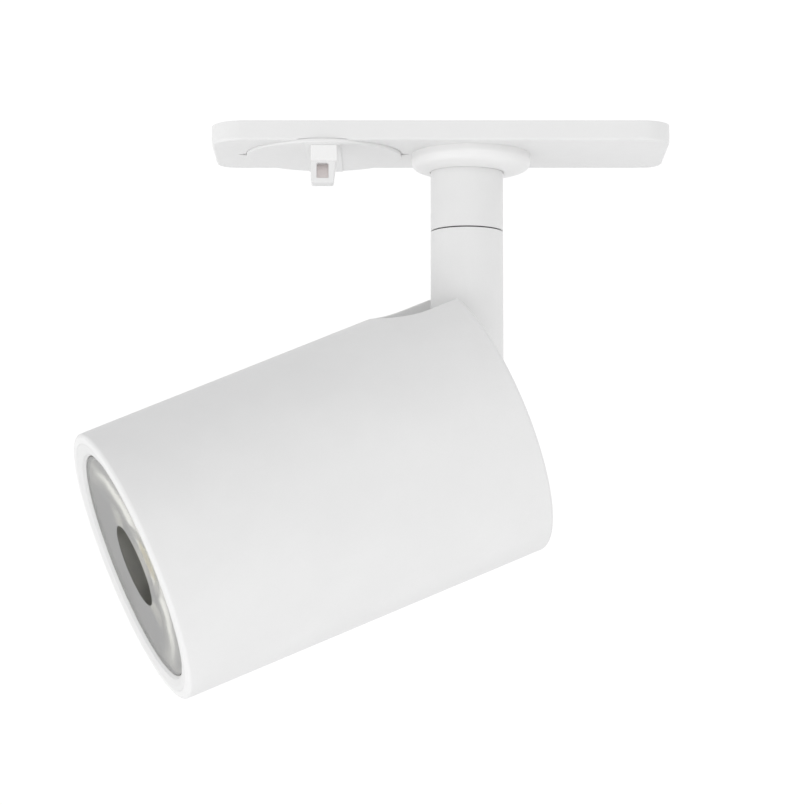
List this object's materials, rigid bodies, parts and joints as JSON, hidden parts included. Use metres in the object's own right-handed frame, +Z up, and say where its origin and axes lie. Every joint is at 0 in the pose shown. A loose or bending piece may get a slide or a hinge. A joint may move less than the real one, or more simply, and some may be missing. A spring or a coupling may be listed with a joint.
{
  "type": "track spotlight",
  "caption": "Cylindrical spotlight head on a two-part swivel stem under a slim track adapter with a rotary lock dial; the head pans about the stem and tilts in a slot at its rear.",
  "frame": {"origin": "where the stem axis meets the adapter's upper face, the face that bears on the track", "axes": "+Z up towards the track; X along the track, with the lock dial on the -X side of the stem; -Y is the side of the lever tab at rest"},
  "size_m": [0.1384, 0.0827, 0.1353],
  "materials": {
    "white_coat": "matt fine-texture powder coat",
    "white_plastic": "satin moulded polycarbonate",
    "dark_plastic": "matt black glass-filled nylon",
    "grey_plastic": "matt moulded polycarbonate",
    "brown_insert": "matt moulded insert",
    "steel": "zinc-plated",
    "brass": "bright strip",
    "aluminium": "machined and bead-blasted",
    "lens_clear": "clear moulded optic, polished faces",
    "emitter": "silicone phosphor",
    "pcb": "solder mask",
    "pcb_white": "white solder mask",
    "wire": "insulated hook-up wire",
    "wire_red": "insulated hook-up wire",
    "seal": "moulded silicone",
    "component_black": "moulded package",
    "component_yellow": "tape-wound core"
  },
  "bodies": {
    "adapter": {"adapter_cover": "white_plastic", "adapter_chassis": "grey_plastic", "chassis_screws": "steel", "detent_spring": "steel", "detent_block": "grey_plastic", "live_wiper": "brass", "neutral_wiper": "brass", "terminal_block": "grey_plastic", "terminal_screws": "brass", "earth_contact": "brass", "collar": "white_plastic", "upper_stem": "white_coat", "stem_nut": "steel", "swivel_nipple": "steel", "wave_washer": "steel", "thrust_washer": "dark_plastic", "swivel_ring": "dark_plastic", "supply_wires": "wire"},
    "dial": {"lock_dial": "white_plastic", "lever_tab": "white_plastic", "tab_insert": "brown_insert", "cam_rotor": "grey_plastic", "live_contact": "brass", "neutral_contact": "brass", "dial_screw": "steel"},
    "stem": {"lower_stem": "white_coat", "pan_stop_pin": "steel", "knuckle": "white_coat", "knuckle_pin": "steel"},
    "head": {"head_housing": "white_coat", "housing_bosses": "white_coat", "rear_cap": "white_coat", "tilt_bracket": "steel", "bracket_plate": "steel", "bracket_screws": "steel", "plate_screws": "steel", "tilt_axle": "steel", "axle_nut": "steel", "friction_washers": "dark_plastic", "mains_terminal": "grey_plastic", "mains_terminal_screws": "brass", "driver_board": "pcb", "driver_standoffs": "steel", "driver_transformer": "component_yellow", "driver_capacitors": "component_black", "driver_choke": "component_black", "driver_chips": "component_black", "driver_feed_wires": "wire", "heat_sink": "aluminium", "heat_sink_screws": "steel", "led_board": "pcb_white", "led_emitter": "emitter", "led_holder": "dark_plastic", "led_screws": "steel", "led_leads": "wire_red", "lens": "lens_clear", "lens_cup": "dark_plastic", "lens_seal": "seal", "front_bezel": "white_coat"}
  },
  "joints": [
    {"name": "dial_turn", "type": "hinge", "parent": "adapter", "child": "dial", "pos_m": [-0.0336, 0, -0.003], "axis": [0, 0, 1], "range_deg": [-90, 0]},
    {"name": "pan", "type": "hinge", "parent": "adapter", "child": "stem", "pos_m": [0, 0, -0.0232], "axis": [0, 0, 1], "range_deg": [-165, 165]},
    {"name": "tilt", "type": "hinge", "parent": "stem", "child": "head", "pos_m": [0, 0, -0.07082], "axis": [0.2267, -0.974, 0], "range_deg": [-23, 67]}
  ]
}
